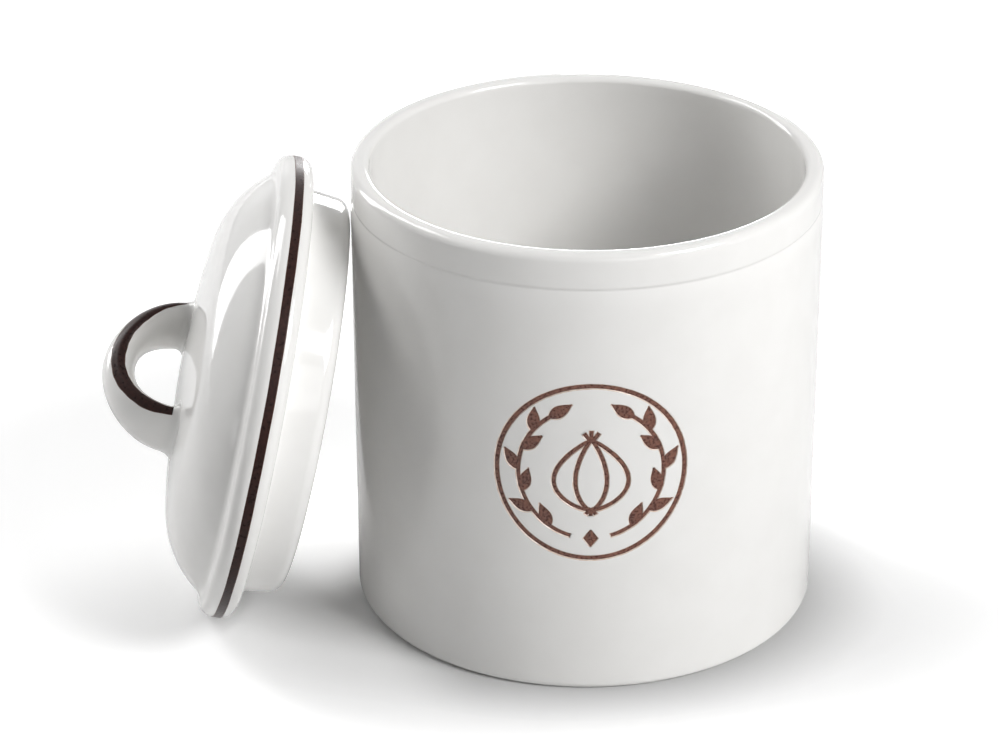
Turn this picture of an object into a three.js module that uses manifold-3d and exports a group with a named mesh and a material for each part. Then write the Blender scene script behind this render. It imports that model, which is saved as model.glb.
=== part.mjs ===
// Onion storage jar of glazed stoneware, with its lid taken off and leaning against the jar's wall.
// Millimetres and degrees, +Z up. The origin is the centre of the jar's flat base, and -Y is the front.
import * as THREE from "three";
import { mergeVertices } from "three/addons/utils/BufferGeometryUtils.js";
import Module from "manifold-3d";

const wasm = await Module();
wasm.setup();

// Jar body
const jarHeight = 175;
const jarRadius = 87.5; // over the wall
const jarWall = 7.1;
const jarFloor = 8;
const bandInset = 0.3; // the rim band stands this far inside the wall
const bandHeight = 12.2; // from the rim down to the round under the band
const bandEdge = 1.2; // height of that round
const grooveDepth = 0.35; // under the band
const grooveFade = 7; // from the groove down to where the wall is straight
const rimOuterRound = 3;
const rimInnerRound = 2.4;
const footRound = 2.5;
const floorRound = 9;

// Lid, with its heights counted from the seat that rests on the rim
const flangeOverhang = 0.6; // past the jar's wall
const flangeUnderRound = 4.6;
const edgeHeight = 3.3; // the upright part of the flange's edge
const lipRound = 5;
const brimWidth = 1.7;
const brimSlope = 12;
const coveRadius = 6;
const shoulderRadius = 42;
const shoulderSlope = 52; // where the shoulder runs into the cove
const crownRadius = 354;
const lidWall = 6;
const collarClearance = 3.4; // between the collar and the jar's mouth
const collarDepth = 16.1;
const collarAngle = 7.5;
const collarWall = 8;
const collarOuterRound = 5;
const collarInnerRound = 2;

// Handle, a strap of oval section that bridges the lid's crown
const handleSpan = 57.6; // over the outside of the legs
const handleRise = 28.8; // of the outside over the crown
const handleThickness = 12; // at the top of the arch
const handleFootThickness = 10;
const handleWidth = 20.5; // at the top of the arch
const handleFootWidth = 30;
const handleRoot = 5; // how far the legs run down before the crown cuts them
const rootFlare = 2.5;
const rootFlareHeight = 6;
const handleOffset = -2.2; // along the span
const handleAngle = 57.5; // the span's direction, from uphill towards the back
const sectionPower = 1.9; // 2 is an ellipse, more is squarer

// Coloured slip lines
const inlayGap = 0.3;
const rimLineMargin = 0.25; // of bare edge above and below the line
const rimLineDepth = 1.2;
const handleLineThickness = 0.9;
const handleLineOutsideAngle = 44; // how far the line wraps from the edge of the section to its outside
const handleLineInsideAngle = 10; // and to its inside
const handleLineEndAngle = 9; // where the line stops, as an angle up the arch from a foot

// Badge on the front, sunk in the wall and filled with slip
const badgeHeight = 90; // of its centre
const badgeRadius = 35.4;
const badgeRecess = 1;
const badgeSunk = 0.15; // the slip's face lies this far under the wall's
const ringWidth = 1.6;
const strokeWidth = 1.4;
const sprayRadius = 26.5;
const sprayStartAngle = 16; // angle of the stem's foot from the badge's lowest point
const sprayEndAngle = 146;
const leafCount = 7;
const leafLength = 9.4;
const leafWidth = 4.6;
const leafAngle = 34; // angle between a leaf and the stem
const leafBellyShare = 0.42; // of the length, where a leaf is widest
const bulbWidth = 27;
const bulbHeight = 28;
const bulbRise = -1; // of the bulb's middle over the badge's
const bulbBellyPower = 0.8; // under 1 puts the widest part below the middle
const bulbRoundPower = 0.75; // under 1 makes the sides fuller
const skinLineShares = [-1, -0.42, 0.42, 1]; // of the half width, where the skin's lines pass
const rootLength = 3;
const shootLength = 4.6;
const tuftAngle = 36; // angle between neighbouring roots or shoots
const lozengeWidth = 5.4;
const lozengeHeight = 7;

// How the lid leans
const leanAngle = 12.7; // of the lid's axis above the horizontal, where the jar is tall enough
const leanSideAngle = 4.5; // from -X towards -Y, of the lid's place beside the jar
const facingAngle = 2.7; // the same, of the way that the lid faces
const leanGap = 0.3; // between the collar and the wall

// Fineness of the curved faces
const turnSegments = 72;
const chordError = 0.2; // how far a flat step of a round stretch may lie inside it
const archSteps = 18;
const sectionPoints = 16;
const lineSteps = 3;
const ringSegments = 48;
const stemSteps = 12;
const leafSteps = 3;
const outlineSteps = 14;

const mergeTolerance = 1e-4;
const cutOverrun = 2;
const degree = Math.PI / 180;

const mouthRadius = jarRadius - jarWall;
const flangeRadius = jarRadius + flangeOverhang;
const collarRadius = mouthRadius - collarClearance; // where it meets the seat

const glaze = new THREE.MeshStandardMaterial({ color: 0xe9e7e3, roughness: 0.12, metalness: 0 });
const darkSlip = new THREE.MeshStandardMaterial({ color: 0x24130f, roughness: 0.2, metalness: 0 });
const brownSlip = new THREE.MeshStandardMaterial({ color: 0x6b3b2c, roughness: 0.5, metalness: 0 });

const point = (x, y) => new THREE.Vector2(x, y);
const sine = (angle) => Math.sin(angle * degree);
const cosine = (angle) => Math.cos(angle * degree);

// Points along a round stretch, from one angle to another.
function arc(centre, radius, from, to, steps = arcSteps(radius, to - from)) {
  return Array.from({ length: steps + 1 }, (_, i) => {
    const angle = from + ((to - from) * i) / steps;
    return point(centre.x + radius * cosine(angle), centre.y + radius * sine(angle));
  });
}

function arcSteps(radius, turn) {
  const widest = 2 * Math.acos(1 - chordError / radius);
  return Math.ceil((Math.abs(turn) * degree) / widest);
}

// A closed geometry as a solid for joining and cutting.
function solid(geometry) {
  const bare = geometry.index ? geometry.toNonIndexed() : geometry.clone();
  bare.deleteAttribute("normal");
  bare.deleteAttribute("uv");
  const merged = mergeVertices(bare, mergeTolerance);
  const corners = [];
  for (let i = 0; i < merged.index.count; i += 3) {
    const [a, b, c] = merged.index.array.subarray(i, i + 3);
    if (a !== b && b !== c && c !== a) corners.push(a, b, c);
  }
  return new wasm.Manifold(
    new wasm.Mesh({
      numProp: 3,
      vertProperties: new Float32Array(merged.attributes.position.array),
      triVerts: new Uint32Array(corners),
    }),
  );
}

// A solid as a geometry again.
function shell(made) {
  const mesh = made.getMesh();
  const geometry = new THREE.BufferGeometry();
  geometry.setAttribute("position", new THREE.BufferAttribute(mesh.vertProperties, 3));
  geometry.setIndex(new THREE.BufferAttribute(mesh.triVerts, 1));
  geometry.computeVertexNormals();
  return geometry;
}

function piece(name, made, material) {
  const mesh = new THREE.Mesh(shell(made), material);
  mesh.name = name;
  return mesh;
}

// A profile of radius and height, turned about an upright axis at x.
function turned(profile, x = 0) {
  const geometry = new THREE.LatheGeometry(profile, turnSegments).rotateX(Math.PI / 2);
  return solid(geometry.translate(x, 0, 0));
}

// Radius of a shallow bow that leaves a straight wall by a depth over a length.
const bowRadius = (length, depth) => (length ** 2 + depth ** 2) / (2 * depth);

// The jar is one thrown pot: foot, wall, groove, rim band, mouth and floor in one profile.
function jarPot() {
  const bandRadius = jarRadius - bandInset;
  const bandBottom = jarHeight - bandHeight;
  const edgeRound = bowRadius(bandEdge, grooveDepth);
  const edgeAngle = Math.asin(bandEdge / edgeRound) / degree;
  const edge = point(bandRadius - edgeRound, bandBottom);
  const fadeRound = bowRadius(grooveFade, bandInset + grooveDepth);
  const fadeAngle = Math.asin(grooveFade / fadeRound) / degree;
  const fade = point(jarRadius - fadeRound, bandBottom - bandEdge - grooveFade);
  const foot = point(jarRadius - footRound, footRound);
  const rimOuter = point(bandRadius - rimOuterRound, jarHeight - rimOuterRound);
  const rimInner = point(mouthRadius + rimInnerRound, jarHeight - rimInnerRound);
  const corner = point(mouthRadius - floorRound, jarFloor + floorRound);
  return turned([
    point(0, 0),
    ...arc(foot, footRound, -90, 0),
    ...arc(fade, fadeRound, 0, fadeAngle),
    ...arc(edge, edgeRound, -edgeAngle, 0).slice(1),
    ...arc(rimOuter, rimOuterRound, 0, 90),
    ...arc(rimInner, rimInnerRound, 90, 180),
    ...arc(corner, floorRound, 0, -90),
    point(0, jarFloor),
  ]);
}

// The lid's rounds, worked inwards and upwards from the edge of the flange.
const under = point(flangeRadius - flangeUnderRound, flangeUnderRound);
const lip = point(flangeRadius - lipRound, flangeUnderRound + edgeHeight);
const brimOuter = point(lip.x + lipRound * sine(brimSlope), lip.y + lipRound * cosine(brimSlope));
const brimInner = point(
  brimOuter.x - brimWidth,
  brimOuter.y + brimWidth * Math.tan(brimSlope * degree),
);
const cove = point(
  brimInner.x + coveRadius * sine(brimSlope),
  brimInner.y + coveRadius * cosine(brimSlope),
);
const shoulder = point(
  cove.x - (coveRadius + shoulderRadius) * sine(shoulderSlope),
  cove.y - (coveRadius + shoulderRadius) * cosine(shoulderSlope),
);
const crownSlope = Math.asin(shoulder.x / (crownRadius - shoulderRadius)) / degree;
const crown = point(0, shoulder.y - (crownRadius - shoulderRadius) * cosine(crownSlope));
const crownTop = crown.y + crownRadius;

// The outside or inside of the dome, from where it starts at the edge up to its middle.
function dome(offset, startAngle) {
  return [
    ...arc(shoulder, shoulderRadius + offset, startAngle, 90 - crownSlope),
    ...arc(crown, crownRadius + offset, 90 - crownSlope, 90).slice(1),
  ];
}

const collarOuter = point(
  collarRadius -
    Math.tan(collarAngle * degree) *
      (collarDepth - collarOuterRound + collarOuterRound * sine(collarAngle)) -
    collarOuterRound * cosine(collarAngle),
  collarOuterRound - collarDepth,
);
const collarInside = collarOuter.x + collarOuterRound - collarWall;

const lineLow = flangeUnderRound + rimLineMargin;
const lineHigh = flangeUnderRound + edgeHeight - rimLineMargin;

// Dome, flange and locating collar are one pressed piece, hollow underneath.
function lidBody() {
  const inner = Math.acos((collarInside - shoulder.x) / (shoulderRadius - lidWall)) / degree;
  const collarInner = point(collarInside + collarInnerRound, collarInnerRound - collarDepth);
  const outline = [
    ...dome(-lidWall, inner).reverse(),
    ...arc(collarInner, collarInnerRound, 180, 270),
    ...arc(collarOuter, collarOuterRound, -90, -collarAngle),
    point(collarRadius, 0),
    ...arc(under, flangeUnderRound, -90, 0),
    point(flangeRadius, lineLow),
    point(flangeRadius - rimLineDepth, lineLow),
    point(flangeRadius - rimLineDepth, lineHigh),
    point(flangeRadius, lineHigh),
    ...arc(lip, lipRound, 0, 90 - brimSlope),
    ...arc(cove, coveRadius, 270 - brimSlope, 270 - shoulderSlope),
    ...dome(0, 90 - shoulderSlope).slice(1),
  ];
  return turned(outline);
}

// The dark line round the flange fills a shallow groove in its edge.
function rimLine() {
  const inside = flangeRadius - rimLineDepth + inlayGap;
  const low = lineLow + inlayGap;
  const high = lineHigh - inlayGap;
  return turned([
    point(inside, low),
    point(flangeRadius, low),
    point(flangeRadius, high),
    point(inside, high),
    point(inside, low),
  ]);
}

// Places along the arch of the handle: the height of a leg below the spring line, or an angle up the arch.
function archStations(from, to) {
  const turns = Array.from({ length: archSteps + 1 }, (_, i) => from + ((to - from) * i) / archSteps);
  return turns.map((turn) => archPlace(turn, 0));
}

function archPlace(turn, drop) {
  const across = handleSpan / 2 - handleThickness / 2;
  const up = handleRise - handleThickness / 2;
  const centre = point(across * cosine(turn), up * sine(turn) - drop);
  const outward = point(up * cosine(turn), across * sine(turn)).normalize();
  const foot = Math.max(0, 1 - Math.max(centre.y, 0) / rootFlareHeight) ** 2;
  return {
    centre,
    outward,
    width: spread(handleWidth, handleFootWidth, turn) + rootFlare * foot,
    thickness: spread(handleThickness, handleFootThickness, turn) + rootFlare * foot,
  };
}

// A size that goes smoothly from the top of the arch to its feet.
function spread(top, foot, turn) {
  return top + (foot - top) * cosine(turn) ** 2;
}

// A point of the oval section, by its angle from the far edge.
function sectionPoint(place, angle, inset) {
  const side = cosine(angle);
  const face = sine(angle);
  const across = Math.sign(side) * Math.abs(side) ** (2 / sectionPower);
  const out = Math.sign(face) * Math.abs(face) ** (2 / sectionPower);
  const depth = (out * place.thickness) / 2;
  return new THREE.Vector3(
    place.centre.x + place.outward.x * depth,
    across * (place.width / 2 - inset),
    crownTop + place.centre.y + place.outward.y * depth,
  );
}

// A solid through equal rings of points, closed at both ends. Seen along the way from the first ring
// to the last, the points of a ring run anticlockwise.
function loft(rings) {
  const count = rings[0].length;
  const corners = [];
  for (let r = 0; r + 1 < rings.length; r++) {
    for (let i = 0; i < count; i++) {
      const a = r * count + i;
      const b = r * count + ((i + 1) % count);
      corners.push(a, a + count, b, b, a + count, b + count);
    }
  }
  const last = (rings.length - 1) * count;
  for (let i = 1; i + 1 < count; i++) {
    corners.push(0, i, i + 1);
    corners.push(last, last + i + 1, last + i);
  }
  const geometry = new THREE.BufferGeometry();
  geometry.setFromPoints(rings.flat());
  geometry.setIndex(corners);
  return solid(geometry);
}

// What the crown takes away from a handle that stands on it, in the handle's own frame.
function crownCutter() {
  const outline = dome(inlayGap, 90 - shoulderSlope);
  return turned([point(0, lip.y), point(outline[0].x, lip.y), ...outline], -handleOffset);
}

// The strap narrows where the lines lie along its edges, and is whole again at its roots.
function handleStrap() {
  const sunk = handleLineThickness + inlayGap;
  const angles = Array.from({ length: sectionPoints }, (_, i) => (360 * i) / sectionPoints);
  const ring = (place, inset) => angles.map((angle) => sectionPoint(place, angle, inset));
  const step = inlayGap / (handleRise * degree); // a step as steep as the gap is wide
  const rings = [
    ring(archPlace(0, handleRoot), 0),
    ring(archPlace(0, 0), 0),
    ring(archPlace(handleLineEndAngle - 2 * step, 0), 0),
    ...archStations(handleLineEndAngle - step, 180 - handleLineEndAngle + step).map((p) => ring(p, sunk)),
    ring(archPlace(180 - handleLineEndAngle + 2 * step, 0), 0),
    ring(archPlace(180, 0), 0),
    ring(archPlace(180, handleRoot), 0),
  ];
  return loft(rings).subtract(crownCutter());
}

// A dark line along one edge of the strap; side is 1 for the far edge and -1 for the near one.
function handleLine(side) {
  const start = side > 0 ? -handleLineInsideAngle : 180 - handleLineOutsideAngle;
  const reach = handleLineInsideAngle + handleLineOutsideAngle;
  const sweep = Array.from({ length: lineSteps + 1 }, (_, i) => start + (reach * i) / lineSteps);
  const sweepBack = sweep.toReversed();
  const rings = archStations(handleLineEndAngle, 180 - handleLineEndAngle).map((place) => [
    ...sweep.map((angle) => sectionPoint(place, angle, 0)),
    ...sweepBack.map((angle) => sectionPoint(place, angle, handleLineThickness)),
  ]);
  return loft(rings);
}

// A flat shape of the badge, pulled out to a slab from one depth under the wall's face to another.
function slab(shape, deep, shallow) {
  const geometry = new THREE.ExtrudeGeometry(shape, {
    depth: deep - shallow,
    bevelEnabled: false,
  });
  return solid(geometry.translate(0, 0, -deep));
}

// The slab bent round the jar: x goes round the wall, y up it, and z out from its face.
function wrapped(flat) {
  const geometry = shell(flat);
  const place = geometry.attributes.position;
  for (let i = 0; i < place.count; i++) {
    const turn = place.getX(i) / jarRadius;
    const out = jarRadius + place.getZ(i);
    place.setXYZ(i, out * Math.sin(turn), -out * Math.cos(turn), badgeHeight + place.getY(i));
  }
  return solid(geometry);
}

// An open stroke along points, as wide as said, and longer by the same growth at its ends.
function stroke(points, width, growth) {
  const half = width / 2 + growth;
  const along = points.map((_, i) =>
    points[Math.min(i + 1, points.length - 1)].clone().sub(points[Math.max(i - 1, 0)]).normalize(),
  );
  const moved = points.map((p, i) => {
    const end = i === 0 ? -growth : i === points.length - 1 ? growth : 0;
    return p.clone().addScaledVector(along[i], end);
  });
  const beside = (side) => moved.map((p, i) => point(p.x - side * along[i].y, p.y + side * along[i].x));
  return new THREE.Shape([...beside(-half), ...beside(half).reverse()]);
}

function ringShapes(growth) {
  const shape = new THREE.Shape(arc(point(0, 0), badgeRadius + growth, 0, 360, ringSegments).slice(1));
  const inside = badgeRadius - ringWidth - growth;
  shape.holes.push(new THREE.Path(arc(point(0, 0), inside, 0, 360, ringSegments).slice(1)));
  return [shape];
}

// A leafy stem that follows the ring up one side; side is 1 for the right and -1 for the left.
function sprayShapes(side, growth) {
  const stemPoint = (turn) => point(side * sprayRadius * sine(turn), -sprayRadius * cosine(turn));
  const turns = Array.from(
    { length: stemSteps + 1 },
    (_, i) => sprayStartAngle + ((sprayEndAngle - sprayStartAngle) * i) / stemSteps,
  );
  const shapes = [stroke(turns.map(stemPoint), strokeWidth, growth)];
  for (let i = 1; i <= leafCount; i++) {
    const turn = sprayStartAngle + ((sprayEndAngle - sprayStartAngle) * i) / leafCount;
    const hand = i === leafCount ? 0 : i % 2 ? 1 : -1;
    const heading = point(side * cosine(turn), sine(turn)).rotateAround(
      point(0, 0),
      hand * side * leafAngle * degree,
    );
    shapes.push(leaf(stemPoint(turn), heading, growth));
  }
  return shapes;
}

// A pointed leaf from its foot along a heading.
function leaf(foot, heading, growth) {
  const back = growth + strokeWidth / 2; // so that the leaf starts inside its stem
  const length = leafLength + back + growth;
  const half = leafWidth / 2 + growth;
  const start = foot.clone().addScaledVector(heading, -back);
  const side = (sign) =>
    Array.from({ length: leafSteps + 1 }, (_, i) => {
      const share = i / (leafSteps + 1);
      const belly = Math.log(2) / Math.log(1 / leafBellyShare);
      const across = sign * half * Math.sin(Math.PI * share ** belly);
      return point(
        start.x + heading.x * length * share - heading.y * across,
        start.y + heading.y * length * share + heading.x * across,
      );
    });
  const tip = start.clone().addScaledVector(heading, length);
  return new THREE.Shape([...side(-1), tip, ...side(1).slice(1).reverse()]);
}

// Straight strokes that spread from an end of the bulb; up is 1 for the shoots and -1 for the roots.
function tuft(up, length, growth) {
  const start = point(0, bulbRise + up * (bulbHeight / 2 - strokeWidth / 2));
  return [-tuftAngle, 0, tuftAngle].map((angle) => {
    const end = point(length * sine(angle), up * length * cosine(angle));
    return stroke([start, end.add(start)], strokeWidth, growth);
  });
}

// An onion in outline: the lines of its skin from root to neck, its roots and its shoots.
function bulbShapes(growth) {
  const skinLine = (share) =>
    Array.from({ length: outlineSteps + 1 }, (_, i) => {
      const rise = i / outlineSteps;
      const belly = Math.max(0, Math.sin(Math.PI * rise ** bulbBellyPower)) ** bulbRoundPower;
      return point((share * bulbWidth * belly) / 2, bulbRise + bulbHeight * (rise - 1 / 2));
    });
  return [
    ...skinLineShares.map((share) => stroke(skinLine(share), strokeWidth, growth)),
    ...tuft(-1, rootLength, growth),
    ...tuft(1, shootLength, growth),
  ];
}

function lozengeShapes(growth) {
  const half = lozengeWidth / 2 + growth;
  const tall = lozengeHeight / 2 + growth;
  const middle = -sprayRadius;
  return [
    new THREE.Shape([
      point(0, middle - tall),
      point(half, middle),
      point(0, middle + tall),
      point(-half, middle),
    ]),
  ];
}

const badgeMotifs = {
  badge_ring: ringShapes,
  badge_spray_left: (growth) => sprayShapes(-1, growth),
  badge_spray_right: (growth) => sprayShapes(1, growth),
  badge_bulb: bulbShapes,
  badge_lozenge: lozengeShapes,
};

function motif(shapes, deep, shallow) {
  return shapes.map((shape) => slab(shape, deep, shallow)).reduce((a, b) => a.add(b));
}

// The jar with its badge
const jar = new THREE.Group();
let pot = jarPot();
for (const [name, shapesOf] of Object.entries(badgeMotifs)) {
  pot = pot.subtract(wrapped(motif(shapesOf(inlayGap), badgeRecess, -cutOverrun)));
  const inlay = wrapped(motif(shapesOf(0), badgeRecess - inlayGap, badgeSunk));
  jar.add(piece(name, inlay, brownSlip));
}
jar.add(piece("jar_body", pot, glaze));

// The lid with its handle, upright in its own frame
const handle = new THREE.Group();
handle.add(piece("lid_handle", handleStrap(), glaze));
handle.add(piece("handle_line_near", handleLine(-1), darkSlip));
handle.add(piece("handle_line_far", handleLine(1), darkSlip));
handle.rotation.z = handleAngle * degree;
handle.position.set(handleOffset * cosine(handleAngle), handleOffset * sine(handleAngle), 0);

const lid = new THREE.Group();
lid.add(piece("lid_shell", lidBody(), glaze), piece("lid_rim_line", rimLine(), darkSlip), handle);

// The lid stands on the edge of its flange, with the corner of its collar against the jar's wall. Where the
// jar is too low for that at the angle shown, the lid leans further, until the collar meets the wall.
function leaning() {
  const reach = point(under.x + collarOuter.x, collarOuter.y - under.y);
  const highest = jarHeight - bandHeight - bandEdge - grooveFade - flangeUnderRound;
  const turn = Math.acos(Math.min(1, highest / reach.length())) + Math.atan2(reach.y, reach.x);
  return Math.max(leanAngle, turn / degree);
}

// How far a round of the lid stands out from the middle of its seat, towards the jar.
function standsOut(centre, round, lean) {
  return centre.x * sine(lean) - centre.y * cosine(lean) + round;
}

const lean = leaning();
const reachToWall = Math.max(
  standsOut(collarOuter, collarOuterRound, lean),
  standsOut(under, flangeUnderRound, lean),
);
const seatHeight = under.x * cosine(lean) - under.y * sine(lean) + flangeUnderRound;
lid.rotation.y = (lean - 90) * degree;
const facing = new THREE.Group();
facing.add(lid);
facing.rotation.z = (facingAngle - leanSideAngle) * degree;
facing.position.set(-(jarRadius + leanGap + reachToWall), 0, seatHeight);
const beside = new THREE.Group();
beside.add(facing);
beside.rotation.z = leanSideAngle * degree;

const onionJar = new THREE.Group();
onionJar.add(jar, beside);

export default onionJar;
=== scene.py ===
"""Onion storage jar of white glazed stoneware, with its lid off and leaning against the jar's wall.

Metres, +Z up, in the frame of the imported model. The origin is the centre of the jar's base, and -Y is the
front.
"""

import math

import bmesh
import bpy
from mathutils import Matrix, Vector


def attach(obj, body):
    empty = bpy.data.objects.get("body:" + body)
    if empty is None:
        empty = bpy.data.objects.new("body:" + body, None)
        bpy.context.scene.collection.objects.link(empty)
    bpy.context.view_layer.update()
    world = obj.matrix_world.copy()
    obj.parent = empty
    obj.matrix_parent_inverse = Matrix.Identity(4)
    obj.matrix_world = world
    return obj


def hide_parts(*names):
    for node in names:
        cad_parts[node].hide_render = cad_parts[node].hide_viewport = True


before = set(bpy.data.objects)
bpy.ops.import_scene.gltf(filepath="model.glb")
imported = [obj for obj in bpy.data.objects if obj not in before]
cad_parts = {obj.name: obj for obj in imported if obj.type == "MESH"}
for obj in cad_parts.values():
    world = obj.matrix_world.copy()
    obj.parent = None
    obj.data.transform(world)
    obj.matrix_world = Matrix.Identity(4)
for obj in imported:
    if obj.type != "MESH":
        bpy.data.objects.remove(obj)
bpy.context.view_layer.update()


# The camera stands a good way off with a long lens, in front of the jar and looking a little down on it. Its
# place and lens come from a fit of the jar's rim, foot and sides to the photograph.
mm = 0.001
photo_width = 1000
film_width = 36
lens_pixels = 3475.2
camera_reach = 20
camera_place = Vector((-32.35, -1181.4, 673.2)) * mm
camera_pitch = math.radians(26.45)
camera_roll = -0.0041

camera_data = bpy.data.cameras.new("camera")
camera_data.sensor_width = film_width
camera_data.lens = lens_pixels * film_width / photo_width
camera_data.clip_end = camera_reach
camera = bpy.data.objects.new("camera", camera_data)
bpy.context.scene.collection.objects.link(camera)
camera.matrix_world = (
    Matrix.Translation(camera_place)
    @ Matrix.Rotation(math.pi / 2 - camera_pitch, 4, "X")
    @ Matrix.Rotation(camera_roll, 4, "Z")
)
bpy.context.scene.camera = camera


# The jar's wall, floor, foot and rim are one pot, thrown in stoneware and dipped in white glaze. A soft
# groove marks off the rim band. The foot is wiped bare, so that the pot doesn't stick to the kiln's shelf.
jar_height = 175 * mm
jar_radius = 87.5 * mm
jar_wall = 7.1 * mm
jar_floor = 8 * mm
band_inset = 0.3 * mm  # the rim band stands this far inside the wall
band_height = 12.2 * mm
band_edge = 1.2 * mm
groove_depth = 0.35 * mm
groove_fade = 7 * mm  # from the groove down to where the wall is straight
rim_outer_round = 3 * mm
rim_inner_round = 2.4 * mm
foot_round = 2.5 * mm
floor_round = 9 * mm
pot_steps = 288
badge_height = 90 * mm
badge_radius = 35.4 * mm
badge_margin = 1 * mm
badge_rows = 37  # loops behind the badge, so that its lines are cut into small faces
bare_edge = 0.01 * mm
guard = 1.5 * mm  # a loop this close to a round keeps the shading of a straight stretch even
weld = 0.002 * mm  # points closer than this are one
noise_middle = (0.35, 0.65)  # nearly all of a noise lies between these
roughness_spread = 0.15  # of a finish's roughness, either way
worn_slot, bare_slot = 1, 2  # of the pot's materials, after the white glaze

mouth_radius = jar_radius - jar_wall
band_radius = jar_radius - band_inset


def sine(angle):
    return math.sin(math.radians(angle))


def cosine(angle):
    return math.cos(math.radians(angle))


def line_to(bm, vert, radius, height, guarded=True):
    """Draws a profile on from vert in a straight line, and returns its new end."""
    end = Vector((radius, 0, height))
    start = vert.co.copy()
    length = (end - start).length
    stops = [1]
    if guarded and length > 3 * guard:
        stops = [guard / length, 1 - guard / length, 1]
    for share in stops:
        vert = bmesh.ops.extrude_vert_indiv(bm, verts=[vert])["verts"][0]
        vert.co = start.lerp(end, share)
    return vert


def arc_on(bm, vert, radius, height, turn, steps=10):
    """Draws a profile on round a centre, anticlockwise if turn is over 0, and returns its new end."""
    made = bmesh.ops.spin(
        bm,
        geom=[vert],
        cent=(radius, 0, height),
        axis=(0, -1, 0),
        angle=math.radians(turn),
        steps=steps,
        use_duplicate=False,
    )
    return next(item for item in made["geom_last"] if isinstance(item, bmesh.types.BMVert))


def bow(length, depth):
    """Radius and turn of a shallow bow that leaves a straight line by depth over a length."""
    radius = (length**2 + depth**2) / (2 * depth)
    return radius, math.degrees(math.asin(length / radius))


def turn_round(bm, steps=pot_steps):
    """Turns a profile about the Z axis and closes it."""
    bmesh.ops.spin(
        bm,
        geom=bm.verts[:] + bm.edges[:],
        cent=(0, 0, 0),
        axis=(0, 0, 1),
        angle=2 * math.pi,
        steps=steps,
        use_merge=True,
    )
    bmesh.ops.remove_doubles(bm, verts=bm.verts[:], dist=weld)
    bmesh.ops.recalc_face_normals(bm, faces=bm.faces[:])


def finished(name, bm, material, smooth=True):
    """A piece's object at the origin, made of what bm holds."""
    for face in bm.faces:
        face.smooth = smooth
    mesh = bpy.data.meshes.new(name)
    bm.to_mesh(mesh)
    bm.free()
    mesh.materials.append(material)
    made = bpy.data.objects.new(name, mesh)
    bpy.context.scene.collection.objects.link(made)
    return made


def noise_of(nodes, links, scale):
    """Noise over a piece's own space, with scale in waves per metre."""
    place = nodes.new("ShaderNodeTexCoord")
    noise = nodes.new("ShaderNodeTexNoise")
    noise.inputs["Scale"].default_value = scale
    links.new(place.outputs["Object"], noise.inputs["Vector"])
    return noise.outputs["Fac"]


def ranged(nodes, links, value, low, high):
    """Takes the middle of a noise from low to high, for a socket that wants a number or a grey."""
    spread = nodes.new("ShaderNodeMapRange")
    spread.inputs["From Min"].default_value = noise_middle[0]
    spread.inputs["From Max"].default_value = noise_middle[1]
    spread.inputs["To Min"].default_value = low
    spread.inputs["To Max"].default_value = high
    links.new(value, spread.inputs["Value"])
    return spread.outputs["Result"]


def mottled(name, dark, light, scale, roughness, bump_height, bump_scale):
    """A fired surface: its colour clouds from dark to light, and its face is uneven by bump_height."""
    material = bpy.data.materials.new(name)
    material.use_nodes = True
    nodes = material.node_tree.nodes
    links = material.node_tree.links
    shader = nodes["Principled BSDF"]
    mix = nodes.new("ShaderNodeMix")
    mix.data_type = "RGBA"
    mix.inputs["A"].default_value = (*dark, 1)
    mix.inputs["B"].default_value = (*light, 1)
    links.new(ranged(nodes, links, noise_of(nodes, links, scale), 0, 1), mix.inputs["Factor"])
    links.new(mix.outputs["Result"], shader.inputs["Base Color"])
    smoothest = (1 - roughness_spread) * roughness
    roughest = (1 + roughness_spread) * roughness
    rough = ranged(nodes, links, noise_of(nodes, links, scale), smoothest, roughest)
    links.new(rough, shader.inputs["Roughness"])
    bump = nodes.new("ShaderNodeBump")
    bump.inputs["Distance"].default_value = bump_height
    links.new(noise_of(nodes, links, bump_scale), bump.inputs["Height"])
    links.new(bump.outputs["Normal"], shader.inputs["Normal"])
    return material


white_glaze = mottled(
    "white_glaze",
    dark=(0.82, 0.812, 0.795),
    light=(0.835, 0.828, 0.812),
    scale=60,
    roughness=0.075,
    bump_height=0.03 * mm,
    bump_scale=45,
)
worn_glaze = mottled(
    "worn_glaze",
    dark=(0.62, 0.47, 0.39),
    light=(0.78, 0.69, 0.62),
    scale=400,
    roughness=0.12,
    bump_height=0.02 * mm,
    bump_scale=500,
)
bare_clay = mottled(
    "bare_clay",
    dark=(0.5, 0.42, 0.33),
    light=(0.66, 0.58, 0.48),
    scale=900,
    roughness=0.8,
    bump_height=0.05 * mm,
    bump_scale=2500,
)

bm = bmesh.new()
pen = bm.verts.new((0, 0, 0))
pen = line_to(bm, pen, jar_radius - foot_round, 0)
pen = arc_on(bm, pen, jar_radius - foot_round, foot_round, 90)
band_bottom = jar_height - band_height
wall_top = band_bottom - band_edge - groove_fade
edge_round, edge_turn = bow(band_edge, groove_depth)
fade_round, fade_turn = bow(groove_fade, band_inset + groove_depth)
badge_low = badge_height - badge_radius - badge_margin
for row in range(badge_rows + 1):
    height = badge_low + 2 * (badge_height - badge_low) * row / badge_rows
    pen = line_to(bm, pen, jar_radius, height, guarded=row == 0)
pen = line_to(bm, pen, jar_radius, wall_top)
pen = arc_on(bm, pen, jar_radius - fade_round, wall_top, fade_turn)
pen = arc_on(bm, pen, band_radius - edge_round, band_bottom, edge_turn)
pen = line_to(bm, pen, band_radius, jar_height - rim_outer_round)
pen = arc_on(bm, pen, band_radius - rim_outer_round, jar_height - rim_outer_round, 90)
pen = line_to(bm, pen, mouth_radius + rim_inner_round, jar_height, guarded=False)
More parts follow.
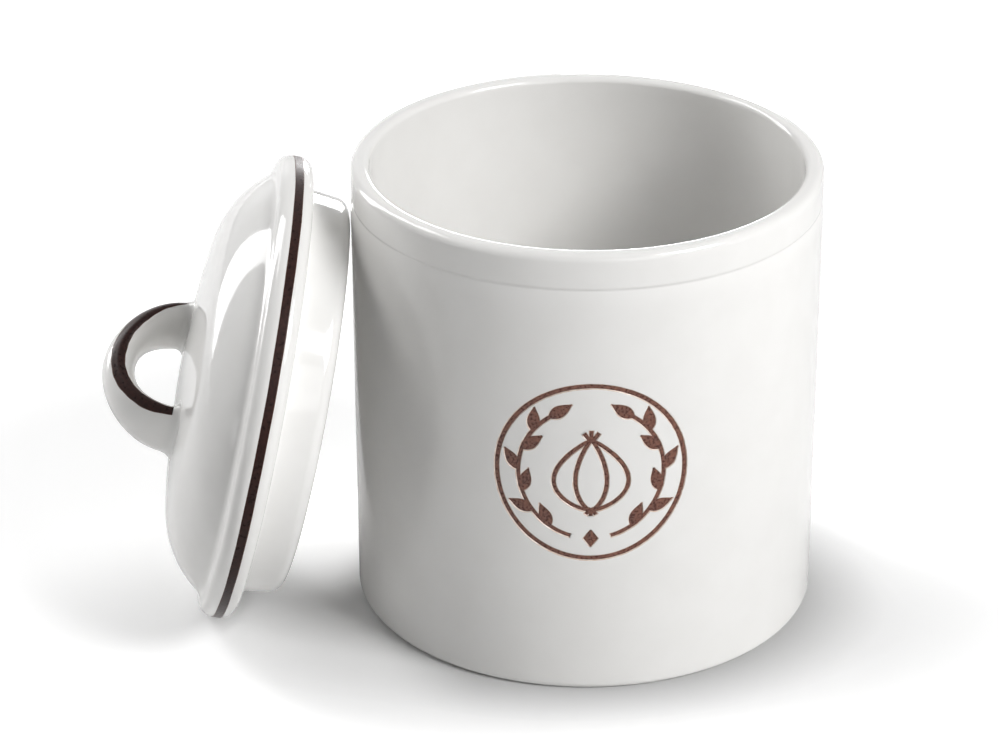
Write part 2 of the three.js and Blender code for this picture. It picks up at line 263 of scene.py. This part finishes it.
pen = arc_on(bm, pen, mouth_radius + rim_inner_round, jar_height - rim_inner_round, 90)
pen = line_to(bm, pen, mouth_radius, jar_floor + floor_round)
pen = arc_on(bm, pen, mouth_radius - floor_round, jar_floor + floor_round, -90)
pen = line_to(bm, pen, 0, jar_floor)
turn_round(bm)
for face in bm.faces:
    if face.calc_center_median().z < bare_edge:
        face.material_index = bare_slot
jar_body = finished("jar_pot", bm, white_glaze)
jar_body.data.materials.append(worn_glaze)
jar_body.data.materials.append(bare_clay)
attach(jar_body, "jar")
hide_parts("jar_body")


# The badge on the front is pressed into the soft clay with a stamp, and its lines are filled with brown
# slip. The glaze runs thin over the rounded edges of the lines, where the warm clay shows through.
ring_width = 1.6 * mm
stroke_width = 1.4 * mm
spray_radius = 26.5 * mm
spray_start = 16  # degrees from the badge's lowest point
spray_end = 146
leaf_count = 7
leaf_length = 9.4 * mm
leaf_width = 4.6 * mm
leaf_angle = 34
leaf_belly = 0.42
leaf_tip = 0.12 * mm
leaf_steps = 14
stem_steps = 48
skin_steps = 32
ring_step = 3  # degrees
leaf_layer, stem_layer, ring_layer = 0, 1, 2  # lines that touch one another are in different layers
bulb_width = 27 * mm
bulb_height = 28 * mm
bulb_rise = -1 * mm
bulb_belly_power = 0.8
bulb_round_power = 0.75
skin_lines = (-1, -0.42, 0.42, 1)
root_length = 3 * mm
shoot_length = 4.6 * mm
tuft_angle = 36
lozenge_width = 5.4 * mm
lozenge_height = 7 * mm

lip_round = 0.45 * mm  # of the stamped edge
lip_start = 18  # degrees of the round that the cut leaves out, where it would only graze the wall
lip_over = 0.05 * mm
stamp_taper = 0.9  # share of a line's width that is left at the bottom of its cut
stamp_depth = 0.9 * mm
stamp_top = 0.8 * mm
slip_edge = 0.4 * mm  # under the wall's face
slip_dome = 0.2 * mm
dome_angles = (80, 50, 25)
slip_overlap = 0.03 * mm
wall_tolerance = 0.02 * mm


def stroke(places, half, layer):
    """An open line of the badge, of even width."""
    return places, [half] * len(places), False, layer


def leaf(foot, heading):
    back = stroke_width / 2  # the leaf starts inside its stem
    power = math.log(2) / math.log(1 / leaf_belly)
    shares = [step / leaf_steps for step in range(leaf_steps + 1)]
    places = [foot + heading * ((leaf_length + back) * share - back) for share in shares]
    halves = [max(leaf_tip, leaf_width / 2 * math.sin(math.pi * share**power)) for share in shares]
    return places, halves, False, leaf_layer


def spray(side):
    """A leafy stem that follows the ring up one side; side is 1 for the right and -1 for the left."""

    def on_stem(turn):
        return spray_radius * Vector((side * sine(turn), -cosine(turn), 0))

    turns = [spray_start + (spray_end - spray_start) * step / stem_steps for step in range(stem_steps + 1)]
    lines = [stroke([on_stem(turn) for turn in turns], stroke_width / 2, stem_layer)]
    for number in range(1, leaf_count + 1):
        turn = spray_start + (spray_end - spray_start) * number / leaf_count
        hand = 0 if number == leaf_count else (1 if number % 2 else -1)
        heading = Vector((side * cosine(turn), sine(turn), 0))
        heading.rotate(Matrix.Rotation(math.radians(side * hand * leaf_angle), 3, "Z"))
        lines.append(leaf(on_stem(turn), heading))
    return lines


def bulb():
    """An onion in outline: the lines of its skin, its roots and its shoots."""
    lines = []
    for layer, share in enumerate(skin_lines):
        places = []
        for step in range(skin_steps + 1):
            rise = (1 - cosine(180 * step / skin_steps)) / 2
            belly = max(0, math.sin(math.pi * rise**bulb_belly_power)) ** bulb_round_power
            beside = share * bulb_width * belly / 2
            places.append(Vector((beside, bulb_rise + bulb_height * (rise - 0.5), 0)))
        lines.append(stroke(places, stroke_width / 2, layer))
    for up, length in ((-1, root_length), (1, shoot_length)):
        start = Vector((0, bulb_rise + up * (bulb_height / 2 - stroke_width / 2), 0))
        for number, angle in enumerate((-tuft_angle, 0, tuft_angle)):
            end = start + length * Vector((sine(angle), up * cosine(angle), 0))
            layer = len(skin_lines) + number
            lines.append(stroke([start, start.lerp(end, 0.5), end], stroke_width / 2, layer))
    return lines


def ring():
    radius = badge_radius - ring_width / 2
    places = [radius * Vector((sine(turn), cosine(turn), 0)) for turn in range(0, 360, ring_step)]
    return [(places, [ring_width / 2] * len(places), True, ring_layer)]


def lozenge():
    middle = Vector((0, -spray_radius, 0))
    tall = Vector((0, lozenge_height / 2, 0))
    halves = [leaf_tip, lozenge_width / 2, leaf_tip]
    return [([middle - tall, middle, middle + tall], halves, False, leaf_layer)]


def lip(angle):
    """A point of the stamped edge: its reach beside the line, and its height over the wall's face."""
    return 1, lip_round * (1 - sine(angle)), -lip_round * (1 - cosine(angle))


lip_run = lip(lip_start)[1] + (lip_over - lip(lip_start)[2]) / math.tan(math.radians(lip_start))
lip_angles = (lip_start, 42, 66, 90)
stamp_profile = [(1, lip_run, stamp_top), (1, lip_run, lip_over)]
stamp_profile += [lip(angle) for angle in lip_angles] + [(stamp_taper, 0, -stamp_depth)]
stamp_ends = [lip(angle)[1:] for angle in lip_angles[::-1]] + [(lip_run, lip_over)]
slip_profile = [(cosine(angle), 0, slip_dome * sine(angle) - slip_edge) for angle in dome_angles]
slip_profile += [(1, slip_overlap, -slip_edge), (1, slip_overlap, -stamp_depth)]
slip_ends = [(slip_overlap, -stamp_depth)]


def section(bm, place, across, half, profile, lowest, cap):
    """A loop round one line of the badge, down its right side and up its left, no lower than said."""
    count = len(profile)
    made = bmesh.ops.create_circle(bm, cap_ends=cap, radius=1, segments=2 * count)["verts"]
    for number, vert in enumerate(made):
        share, beside, height = profile[number if number < count else 2 * count - 1 - number]
        reach = (half * share + beside) * (1 if number < count else -1)
        vert.co = place + across * reach + Vector((0, 0, max(height, lowest)))
    return made


def loop_edges(verts):
    """The edges that run between two of these points."""
    inside = set(verts)
    edges = {edge for vert in verts for edge in vert.link_edges}
    return [edge for edge in edges if edge.verts[0] in inside and edge.verts[1] in inside]


def swept(bm, line, profile, ends):
    """A solid line of the badge, flat in the plane of the badge; ends says how it runs out at both ends."""
    places, halves, closed, layer = line
    last = len(places) - 1
    others = set(bm.faces)
    stations = []
    for number, place in enumerate(places):
        before = places[number - 1] if closed or number else place
        after = places[(number + 1) % len(places)] if closed or number < last else place
        along = (after - before).normalized()
        stations.append((place, along, halves[number], -stamp_depth))
    if not closed:
        place, along, half, lowest = stations[0]
        stations[:0] = [(place - along * out, along, half, height) for out, height in ends[::-1]]
        place, along, half, lowest = stations[-1]
        stations += [(place + along * out, along, half, height) for out, height in ends]
    loops = []
    for number, (place, along, half, lowest) in enumerate(stations):
        across = Vector((along.y, -along.x, 0))
        cap = not closed and number in (0, len(stations) - 1)
        loops.append(section(bm, place, across, half, profile, lowest, cap))
    if closed:
        loops.append(loops[0])
    for one, other in zip(loops, loops[1:]):
        bmesh.ops.bridge_loops(bm, edges=loop_edges(one) + loop_edges(other))
    own = [face for face in bm.faces if face not in others]
    bmesh.ops.recalc_face_normals(bm, faces=own)
    if sum(face.calc_center_median().dot(face.normal) * face.calc_area() for face in own) < 0:
        bmesh.ops.reverse_faces(bm, faces=own)


def on_jar(bm):
    """Bends what bm holds round the front of the jar's wall."""
    for vert in bm.verts:
        turn = vert.co.x / jar_radius
        out = jar_radius + vert.co.z
        vert.co = Vector((out * math.sin(turn), -out * math.cos(turn), badge_height + vert.co.y))


brown_slip = mottled(
    "brown_slip",
    dark=(0.07, 0.02, 0.012),
    light=(0.2, 0.075, 0.045),
    scale=1100,
    roughness=0.3,
    bump_height=0.05 * mm,
    bump_scale=1400,
)

badge = {
    "badge_ring": ring(),
    "badge_spray_left": spray(-1),
    "badge_spray_right": spray(1),
    "badge_bulb": bulb(),
    "badge_lozenge": lozenge(),
}
for name, lines in badge.items():
    bm = bmesh.new()
    for line in lines:
        swept(bm, line, slip_profile, slip_ends)
    on_jar(bm)
    filled = finished("slip_" + name, bm, brown_slip)
    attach(filled, "jar")
    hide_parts(name)

stamps = []
every_line = sum(badge.values(), [])
for layer in sorted({line[3] for line in every_line}):
    bm = bmesh.new()
    for line in every_line:
        if line[3] == layer:
            swept(bm, line, stamp_profile, stamp_ends)
    on_jar(bm)
    for face in bm.faces:
        face.material_index = worn_slot
    stamp = finished("stamp", bm, worn_glaze)
    stamps.append(stamp)
    cut = jar_body.modifiers.new("stamped", "BOOLEAN")
    cut.operation = "DIFFERENCE"
    cut.solver = "MANIFOLD"
    cut.object = stamp

# The cuts are made here and the wall keeps its round shading right up to the stamped edges.
stamped = bpy.data.meshes.new_from_object(jar_body.evaluated_get(bpy.context.evaluated_depsgraph_get()))
jar_body.modifiers.clear()
jar_body.data = stamped
for stamp in stamps:
    bpy.data.objects.remove(stamp)
normals = [normal.vector.copy() for normal in stamped.corner_normals]
for loop in stamped.loops:
    place = stamped.vertices[loop.vertex_index].co
    from_axis = Vector((place.x, place.y, 0))
    if abs(from_axis.length - jar_radius) < wall_tolerance and foot_round < place.z < wall_top:
        normals[loop.index] = from_axis.normalized()
stamped.normals_split_custom_set(normals)


# The lid is one pressed piece of the same stoneware: a domed crown with a cove and a brim round it, a flange
# that rests on the jar's rim, and a collar underneath that drops into the mouth. It's hollow inside.
flange_overhang = 0.6 * mm
flange_under_round = 4.6 * mm
edge_height = 3.3 * mm
brim_round = 5 * mm
brim_width = 1.7 * mm
brim_slope = 12
cove_radius = 6 * mm
shoulder_radius = 42 * mm
shoulder_slope = 52
crown_radius = 354 * mm
lid_wall = 6 * mm
collar_clearance = 3.4 * mm
collar_depth = 16.1 * mm
collar_draft = 7.5
collar_wall = 8 * mm
collar_outer_round = 5 * mm
collar_inner_round = 2 * mm
lean = 12.7  # degrees of the lid's axis above the horizontal
lean_side = 4.5
facing = 2.7
lean_gap = 0.3 * mm

flange_radius = jar_radius + flange_overhang
collar_radius = mouth_radius - collar_clearance
under = Vector((flange_radius - flange_under_round, flange_under_round))
brim_edge = Vector((flange_radius - brim_round, flange_under_round + edge_height))
brim_outer = brim_edge + brim_round * Vector((sine(brim_slope), cosine(brim_slope)))
brim_inner = brim_outer + brim_width * Vector((-1, math.tan(math.radians(brim_slope))))
cove = brim_inner + cove_radius * Vector((sine(brim_slope), cosine(brim_slope)))
shoulder = cove - (cove_radius + shoulder_radius) * Vector((sine(shoulder_slope), cosine(shoulder_slope)))
crown_slope = math.degrees(math.asin(shoulder.x / (crown_radius - shoulder_radius)))
crown = Vector((0, shoulder.y - (crown_radius - shoulder_radius) * cosine(crown_slope)))
crown_top = crown.y + crown_radius
collar_outer = Vector(
    (
        collar_radius
        - math.tan(math.radians(collar_draft))
        * (collar_depth - collar_outer_round + collar_outer_round * sine(collar_draft))
        - collar_outer_round * cosine(collar_draft),
        collar_outer_round - collar_depth,
    )
)
collar_inside = collar_outer.x + collar_outer_round - collar_wall
inner_start = math.degrees(math.acos((collar_inside - shoulder.x) / (shoulder_radius - lid_wall)))

reach_to_wall = collar_outer.x * sine(lean) - collar_outer.y * cosine(lean) + collar_outer_round
seat_height = under.x * cosine(lean) - under.y * sine(lean) + flange_under_round
lid_place = (
    Matrix.Rotation(math.radians(lean_side), 4, "Z")
    @ Matrix.Translation((-(jar_radius + lean_gap + reach_to_wall), 0, seat_height))
    @ Matrix.Rotation(math.radians(facing - lean_side), 4, "Z")
    @ Matrix.Rotation(math.radians(lean - 90), 4, "Y")
)

bm = bmesh.new()
pen = bm.verts.new((collar_inside, 0, shoulder.y + (shoulder_radius - lid_wall) * sine(inner_start)))
pen = line_to(bm, pen, collar_inside, collar_inner_round - collar_depth)
pen = arc_on(bm, pen, collar_inside + collar_inner_round, collar_inner_round - collar_depth, 90, steps=6)
pen = line_to(bm, pen, collar_outer.x, -collar_depth, guarded=False)
pen = arc_on(bm, pen, collar_outer.x, collar_outer.y, 90 - collar_draft)
pen = line_to(bm, pen, collar_radius, 0)
pen = line_to(bm, pen, under.x, 0)
pen = arc_on(bm, pen, under.x, under.y, 90)
pen = line_to(bm, pen, flange_radius, brim_edge.y, guarded=False)
pen = arc_on(bm, pen, brim_edge.x, brim_edge.y, 90 - brim_slope)
pen = line_to(bm, pen, brim_inner.x, brim_inner.y, guarded=False)
pen = arc_on(bm, pen, cove.x, cove.y, brim_slope - shoulder_slope)
pen = arc_on(bm, pen, shoulder.x, shoulder.y, shoulder_slope - crown_slope, steps=24)
pen = arc_on(bm, pen, crown.x, crown.y, crown_slope, steps=24)
pen = bm.verts.new((0, 0, crown_top - lid_wall))
pen = arc_on(bm, pen, crown.x, crown.y, -crown_slope, steps=20)
pen = arc_on(bm, pen, shoulder.x, shoulder.y, -(90 - crown_slope - inner_start), steps=16)
turn_round(bm)
bmesh.ops.transform(bm, matrix=lid_place, verts=bm.verts[:])
lid_shell = finished("lid_dome", bm, white_glaze)
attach(lid_shell, "lid")
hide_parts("lid_shell")


# The handle is a strap of clay with an oval section, bent into an arch, pressed on to the crown and smoothed
# down into it with slip. Its legs widen towards the crown, where a fillet runs out into the dome.
handle_rise = 28.8 * mm
handle_thickness = 12 * mm
handle_foot_thickness = 10 * mm
handle_width = 20.5 * mm
handle_foot_width = 30 * mm
handle_offset = -2.2 * mm
handle_turn = 57.5
fillet = 2.6 * mm
skirt = 1 * mm  # beyond the fillet, where the clay dips under the crown's face at a very flat angle
skirt_lift = 0.02 * mm
fillet_steps = 8
arch_steps = 56
section_points = 56

arch_radius = handle_rise - handle_thickness / 2
handle_place = (
    lid_place
    @ Matrix.Translation((handle_offset * cosine(handle_turn), handle_offset * sine(handle_turn), 0))
    @ Matrix.Rotation(math.radians(handle_turn), 4, "Z")
)


def crown_height(x, y):
    """Height of the crown's face at a place of the handle's own frame."""
    radius = math.hypot(x + handle_offset, y)
    if radius < crown_radius * sine(crown_slope):
        return crown.y + math.sqrt(crown_radius**2 - radius**2)
    return shoulder.y + math.sqrt(shoulder_radius**2 - (radius - shoulder.x) ** 2)


def on_strap(turn, grown):
    """Matrix that puts a unit circle round the strap: turn is the angle up the arch from its first foot."""
    thickness = handle_thickness + (handle_foot_thickness - handle_thickness) * cosine(turn) ** 2
    width = handle_width + (handle_foot_width - handle_width) * cosine(turn) ** 2
    outward = Vector((cosine(turn), 0, sine(turn)))
    across = Vector((0, 1, 0))
    columns = (
        outward * (thickness / 2 + grown),
        across * (width / 2 + grown),
        outward.cross(across),
        outward * arch_radius + Vector((0, 0, crown_top)),
    )
    return Matrix([[column[row] for column in columns] for row in range(3)] + [[0, 0, 0, 1]])


def spread_at(turn):
    """How far the fillet stands out from the strap at an angle up the arch."""
    height = max(0, arch_radius * sine(turn))
    return fillet - math.sqrt(max(0, 2 * fillet * height - height**2)) if height < fillet else 0


def settle(verts, turn, lift=0.0):
    """Bends the fillet's lower loops to the shape of the crown."""
    settled = spread_at(turn) / fillet
    for vert in verts:
        on_crown = crown_height(vert.co.x, vert.co.y) + arch_radius * sine(turn) + lift
        vert.co.z += (on_crown - vert.co.z) * settled


def strap_loop(bm, turn, beyond=0.0, lift=0.0):
    """A loop round the strap; the outermost ones, which go beyond the fillet, close its ends."""
    loop = bmesh.ops.create_circle(
        bm,
        cap_ends=beyond > 0,
        radius=1,
        segments=section_points,
        matrix=on_strap(turn, spread_at(turn) + beyond),
    )["verts"]
    settle(loop, turn, lift)
    return loop


fillet_turns = [
    math.degrees(math.asin(fillet * (1 - cosine(90 * step / fillet_steps)) / arch_radius))
    for step in range(fillet_steps)
]
spring = math.degrees(math.asin(fillet / arch_radius))
turns = fillet_turns + [spring + (180 - 2 * spring) * step / arch_steps for step in range(arch_steps + 1)]
turns += [180 - turn for turn in fillet_turns[::-1]]
bm = bmesh.new()
loops = [strap_loop(bm, 0, skirt, -skirt_lift)]
loops += [strap_loop(bm, turn, 0, skirt_lift) for turn in turns]
loops.append(strap_loop(bm, 180, skirt, -skirt_lift))
for one, other in zip(loops, loops[1:]):
    bmesh.ops.bridge_loops(bm, edges=loop_edges(one) + loop_edges(other))
bmesh.ops.recalc_face_normals(bm, faces=bm.faces[:])
bmesh.ops.transform(bm, matrix=handle_place, verts=bm.verts[:])
lid_handle = finished("lid_strap", bm, white_glaze)
for polygon in lid_handle.data.polygons:
    polygon.use_smooth = len(polygon.vertices) < section_points
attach(lid_handle, "lid")
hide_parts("lid_handle")


# Dark slip is brushed on under the glaze, as a line round the flange's edge and one along each edge of the
# handle. A brushed line is even, but its sides waver a little and melt into the white.
line_lift = 0.04 * mm
line_thickness = 0.25 * mm
rim_line_low = 4.4 * mm
rim_line_high = 7.75 * mm
melt_width = 0.3 * mm
rim_line_waver = 0.09 * mm
upper_waves = ((1, 7, 0), (0.6, 19, 1))  # height, count and start of each wave
lower_waves = ((1, 9, 2), (0.6, 23, 0))
stripe_outside = (50, 29)  # degrees that a stripe wraps to the strap's outside, at its pointed and blunt end
stripe_inside = (10, 17)
stripe_waver = 0.05  # of the stripe's width
stripe_waves = ((1, 31, 0), (0.7, 83, 1))
stripe_steps = 14
stripe_start = 3.5  # angle up the arch where a stripe starts
stripe_point = 0.2  # share of the stripe that tapers to its pointed end
stripe_point_width = 0.16  # share of the width that is left at the pointed end
stripe_blunt = 0.12
stripe_blunt_width = 0.72
slip_ior = 1.25
melted_brown = (0.13, 0.06, 0.04, 1)

dark_slip = mottled(
    "dark_slip",
    dark=(0.014, 0.004, 0.003),
    light=(0.028, 0.009, 0.007),
    scale=700,
    roughness=0.32,
    bump_height=0.02 * mm,
    bump_scale=600,
)
dark_slip.node_tree.nodes["Principled BSDF"].inputs["IOR"].default_value = slip_ior
nodes = dark_slip.node_tree.nodes
links = dark_slip.node_tree.links
melted = nodes.new("ShaderNodeMix")
melted.data_type = "RGBA"
melted.inputs["B"].default_value = melted_brown
melt = nodes.new("ShaderNodeAttribute")
melt.attribute_name = "melt"
links.new(melt.outputs["Fac"], melted.inputs["Factor"])
links.new(nodes["Mix"].outputs["Result"], melted.inputs["A"])
links.new(melted.outputs["Result"], nodes["Principled BSDF"].inputs["Base Color"])


def wavering(along, waves):
    """Some waves added up, as a share of the height that they could reach together."""
    total = sum(height * math.sin(count * along + start) for height, count, start in waves)
    return total / sum(height for height, count, start in waves)


bm = bmesh.new()
line_back = flange_radius - line_thickness
pen = bm.verts.new((line_back, 0, rim_line_low))
for height in (rim_line_low, rim_line_low + melt_width, rim_line_high - melt_width, rim_line_high):
    pen = line_to(bm, pen, flange_radius + line_lift, height, guarded=False)
for height in (rim_line_high, rim_line_low):
    pen = line_to(bm, pen, line_back, height, guarded=False)
turn_round(bm)
melt_layer = bm.verts.layers.float.new("melt")
for vert in bm.verts:
    turn = math.atan2(vert.co.y, vert.co.x)
    if vert.co.z > rim_line_high - melt_width / 2:
        vert[melt_layer] = 1
        vert.co.z += rim_line_waver * wavering(turn, upper_waves)
    elif vert.co.z < rim_line_low + melt_width / 2:
        vert[melt_layer] = 1
        vert.co.z += rim_line_waver * wavering(turn, lower_waves)
bmesh.ops.transform(bm, matrix=lid_place, verts=bm.verts[:])
rim_line = finished("rim_line", bm, dark_slip)
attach(rim_line, "lid")
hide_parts("lid_rim_line")


def stripe_row(bm, turn, side, share):
    """An open row of points across a stripe; share goes from 0 at its pointed end to 1 at its blunt one."""
    pointed = stripe_point_width + (1 - stripe_point_width) * math.sqrt(share / stripe_point)
    blunt = stripe_blunt_width + (1 - stripe_blunt_width) * (1 - share) / stripe_blunt
    keep = min(1, pointed, blunt) * (1 + stripe_waver * wavering(share, stripe_waves))
    outside = stripe_outside[0] + (stripe_outside[1] - stripe_outside[0]) * share
    inside = stripe_inside[0] + (stripe_inside[1] - stripe_inside[0]) * share
    middle = (outside - inside) / 2
    half = (outside + inside) / 2 * keep
    first = side * (90 - middle - half)
    row = [bm.verts.new((cosine(first), sine(first), 0))]
    bmesh.ops.spin(
        bm,
        geom=row[:],
        cent=(0, 0, 0),
        axis=(0, 0, side),
        angle=math.radians(2 * half),
        steps=stripe_steps,
    )
    while len(row) <= stripe_steps:
        neighbours = [edge.other_vert(row[-1]) for edge in row[-1].link_edges]
        row.append(next(vert for vert in neighbours if vert not in row))
    bmesh.ops.transform(bm, matrix=on_strap(turn, spread_at(turn) + line_lift), verts=row)
    settle(row, turn)
    return row


for name, side in (("handle_line_near", -1), ("handle_line_far", 1)):
    bm = bmesh.new()
    melt_layer = bm.verts.layers.float.new("melt")
    rows = []
    for step in range(2 * arch_steps + 1):
        share = step / (2 * arch_steps)
        rows.append(stripe_row(bm, stripe_start + (180 - 2 * stripe_start) * share, side, share))
        rows[-1][0][melt_layer] = 1
        rows[-1][-1][melt_layer] = 1
    for one, other in zip(rows, rows[1:]):
        bmesh.ops.bridge_loops(bm, edges=loop_edges(one) + loop_edges(other))
    bmesh.ops.recalc_face_normals(bm, faces=bm.faces[:])
    bmesh.ops.transform(bm, matrix=handle_place, verts=bm.verts[:])
    line = finished("brushed_" + name, bm, dark_slip)
    thick = line.modifiers.new("slip", "SOLIDIFY")
    thick.thickness = line_thickness
    thick.offset = -1
    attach(line, "lid")
    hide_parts(name)


# The set is a white table and a white room. Camera, mirror and window rays see the room as pure white, while
# its light on the jar is dim, so that the lamps model the shapes.
room_light = 0.06
table_half = 3
table_roughness = 0.9
white = (1, 1, 1, 1)
table_paint_seen = 0.8
table_paint_bounce = 0.7
painted_table_glow = (0.02, 0.5)  # painted light added to what the camera sees of the table, beside the pieces and away from them
glow_mirrored = 0.4  # share of the glow that glossy rays see
glow_middle = Vector((-20, -36, 0)) * mm
glow_start = 36 * mm
glow_end = 108 * mm
glow_stretch = (2.2, 1, 1)
painted_gap_glow = 0.48  # painted light, added on the table between lid and jar
gap_middle = Vector((-104, 35, 0)) * mm
gap_start = 12 * mm
gap_end = 38 * mm
gap_stretch = (1, 1.7, 1)
painted_foot_shade = 0.42  # share of the table's paint that is left under the jar, where shade is painted
painted_shade_start = 70 * mm
painted_shade_end = 125 * mm
painted_shade_sides = (-82 * mm, -38 * mm)  # where the painted shade begins and is full, from left to right


def joined(nodes, links, operation, value, other):
    """A socket that joins two values; other is a socket or a number."""
    join = nodes.new("ShaderNodeMath")
    join.operation = operation
    links.new(value, join.inputs[0])
    if isinstance(other, float):
        join.inputs[1].default_value = other
    else:
        links.new(other, join.inputs[1])
    return join.outputs[0]


def to_eye(nodes, links, mirrored=1.0):
    """A socket that is 1 for camera and transmission rays, and mirrored for glossy ones."""
    path = nodes.new("ShaderNodeLightPath")
    glossy = joined(nodes, links, "MULTIPLY", path.outputs["Is Glossy Ray"], mirrored)
    seen = joined(nodes, links, "MAXIMUM", glossy, path.outputs["Is Camera Ray"])
    return joined(nodes, links, "MAXIMUM", seen, path.outputs["Is Transmission Ray"])


def rising(nodes, links, value, start, end, low, high):
    """A socket that rises smoothly from low to high as value goes from start to end."""
    slope = nodes.new("ShaderNodeMapRange")
    slope.interpolation_type = "SMOOTHSTEP"
    for name, number in (("From Min", start), ("From Max", end), ("To Min", low), ("To Max", high)):
        slope.inputs[name].default_value = number
    links.new(value, slope.inputs["Value"])
    return slope.outputs["Result"]


def length_of(nodes, links, vector):
    length = nodes.new("ShaderNodeVectorMath")
    length.operation = "LENGTH"
    links.new(vector, length.inputs[0])
    return length.outputs["Value"]


def far_from(nodes, links, place, middle, stretch):
    """A socket for the distance from a middle, which counts less along a stretched axis."""
    mapping = nodes.new("ShaderNodeMapping")
    mapping.vector_type = "TEXTURE"
    mapping.inputs["Location"].default_value = middle
    mapping.inputs["Scale"].default_value = stretch
    links.new(place, mapping.inputs["Vector"])
    return length_of(nodes, links, mapping.outputs["Vector"])


world = bpy.data.worlds.new("room")
bpy.context.scene.world = world
world.use_nodes = True
nodes = world.node_tree.nodes
links = world.node_tree.links
nodes["Background"].inputs["Color"].default_value = white
strength = nodes.new("ShaderNodeMapRange")
strength.inputs["To Min"].default_value = room_light
links.new(to_eye(nodes, links), strength.inputs["Value"])
links.new(strength.outputs["Result"], nodes["Background"].inputs["Strength"])

bm = bmesh.new()
bmesh.ops.create_grid(bm, x_segments=1, y_segments=1, size=table_half)
table_paint = bpy.data.materials.new("table_paint")
table_paint.use_nodes = True
nodes = table_paint.node_tree.nodes
links = table_paint.node_tree.links
paint = nodes["Principled BSDF"]
paint.inputs["Roughness"].default_value = table_roughness
paint.inputs["Specular IOR Level"].default_value = 0
paint.inputs["Emission Color"].default_value = white
place = nodes.new("ShaderNodeTexCoord")
from_jar = length_of(nodes, links, place.outputs["Object"])
axes = nodes.new("ShaderNodeSeparateXYZ")
links.new(place.outputs["Object"], axes.inputs["Vector"])
# Painted shade: the table's paint darkens towards the jar's foot, on every side but the jar's left.
dim = rising(nodes, links, from_jar, painted_shade_start, painted_shade_end, 1 - painted_foot_shade, 0)
dim = joined(nodes, links, "MULTIPLY", dim, rising(nodes, links, axes.outputs["X"], *painted_shade_sides, 0, 1))
shade = nodes.new("ShaderNodeMath")
shade.operation = "SUBTRACT"
shade.inputs[0].default_value = 1
links.new(dim, shade.inputs[1])
shown = nodes.new("ShaderNodeMapRange")
shown.inputs["To Min"].default_value = table_paint_bounce
links.new(joined(nodes, links, "MULTIPLY", shade.outputs[0], table_paint_seen), shown.inputs["To Max"])
links.new(to_eye(nodes, links), shown.inputs["Value"])
links.new(shown.outputs["Result"], paint.inputs["Base Color"])
# Painted light: the table glows to the eye, little beside the pieces and more away from them, so a painted
# pool of shade lies round them.
from_pieces = far_from(nodes, links, place.outputs["Object"], glow_middle, glow_stretch)
glow = rising(nodes, links, from_pieces, glow_start, glow_end, *painted_table_glow)
glow = joined(nodes, links, "MULTIPLY", glow, to_eye(nodes, links, glow_mirrored))
# Painted light: a brighter patch glows on the table between lid and jar, seen only by the eye.
from_gap = far_from(nodes, links, place.outputs["Object"], gap_middle, gap_stretch)
gap_painted_light = rising(nodes, links, from_gap, gap_start, gap_end, painted_gap_glow, 0)
gap_painted_light = joined(nodes, links, "MULTIPLY", gap_painted_light, to_eye(nodes, links, 0.0))
links.new(joined(nodes, links, "ADD", glow, gap_painted_light), paint.inputs["Emission Strength"])
table = finished("table", bm, table_paint, smooth=False)


# Softboxes. The key stands in front on the right, high up, with a weaker one beside it. The tall and top
# ones behind on the left give the bright shapes on the dome. The low and back ones show only in the glaze,
# while the dome's and the gap's ones only fill the shade on the dome and between lid and jar.
def softbox(name, azimuth, elevation, away, width, height, watts, lights=True, mirrored=True):
    """A lamp that faces the jar. The azimuth runs from straight behind the jar to the right."""
    data = bpy.data.lights.new(name, "AREA")
    data.shape = "RECTANGLE"
    data.size = width
    data.size_y = height
    data.energy = watts
    lamp = bpy.data.objects.new(name, data)
    bpy.context.scene.collection.objects.link(lamp)
    lamp.visible_diffuse = lights
    lamp.visible_glossy = mirrored
    place = away * Vector(
        (cosine(elevation) * sine(azimuth), cosine(elevation) * cosine(azimuth), sine(elevation))
    )
    lamp.matrix_world = Matrix.Translation(place) @ place.to_track_quat("Z", "Y").to_matrix().to_4x4()


softbox("key_softbox", azimuth=126, elevation=40, away=2.3, width=0.9, height=0.9, watts=44.5)
softbox("front_softbox", azimuth=155, elevation=25, away=2.3, width=0.9, height=0.9, watts=4.5)
softbox("left_softbox", azimuth=245, elevation=4, away=2.2, width=0.4, height=0.5, watts=1)
softbox("tall_softbox", azimuth=-54.5, elevation=24, away=2.2, width=0.6, height=1.9, watts=25)
softbox("top_softbox", azimuth=-62, elevation=51, away=2.2, width=1.0, height=0.45, watts=8)
softbox("dome_softbox", azimuth=-75, elevation=12, away=2.2, width=1.2, height=0.8, watts=6, mirrored=False)
softbox("gap_softbox", azimuth=-20, elevation=5, away=2.1, width=0.5, height=0.85, watts=8, mirrored=False)
softbox("low_softbox", azimuth=-20, elevation=5, away=2.1, width=0.5, height=0.85, watts=24, lights=False)
softbox("back_softbox", azimuth=6, elevation=4, away=2.1, width=0.4, height=0.9, watts=16, lights=False)

view = bpy.context.scene.view_settings
view.view_transform = "Standard"
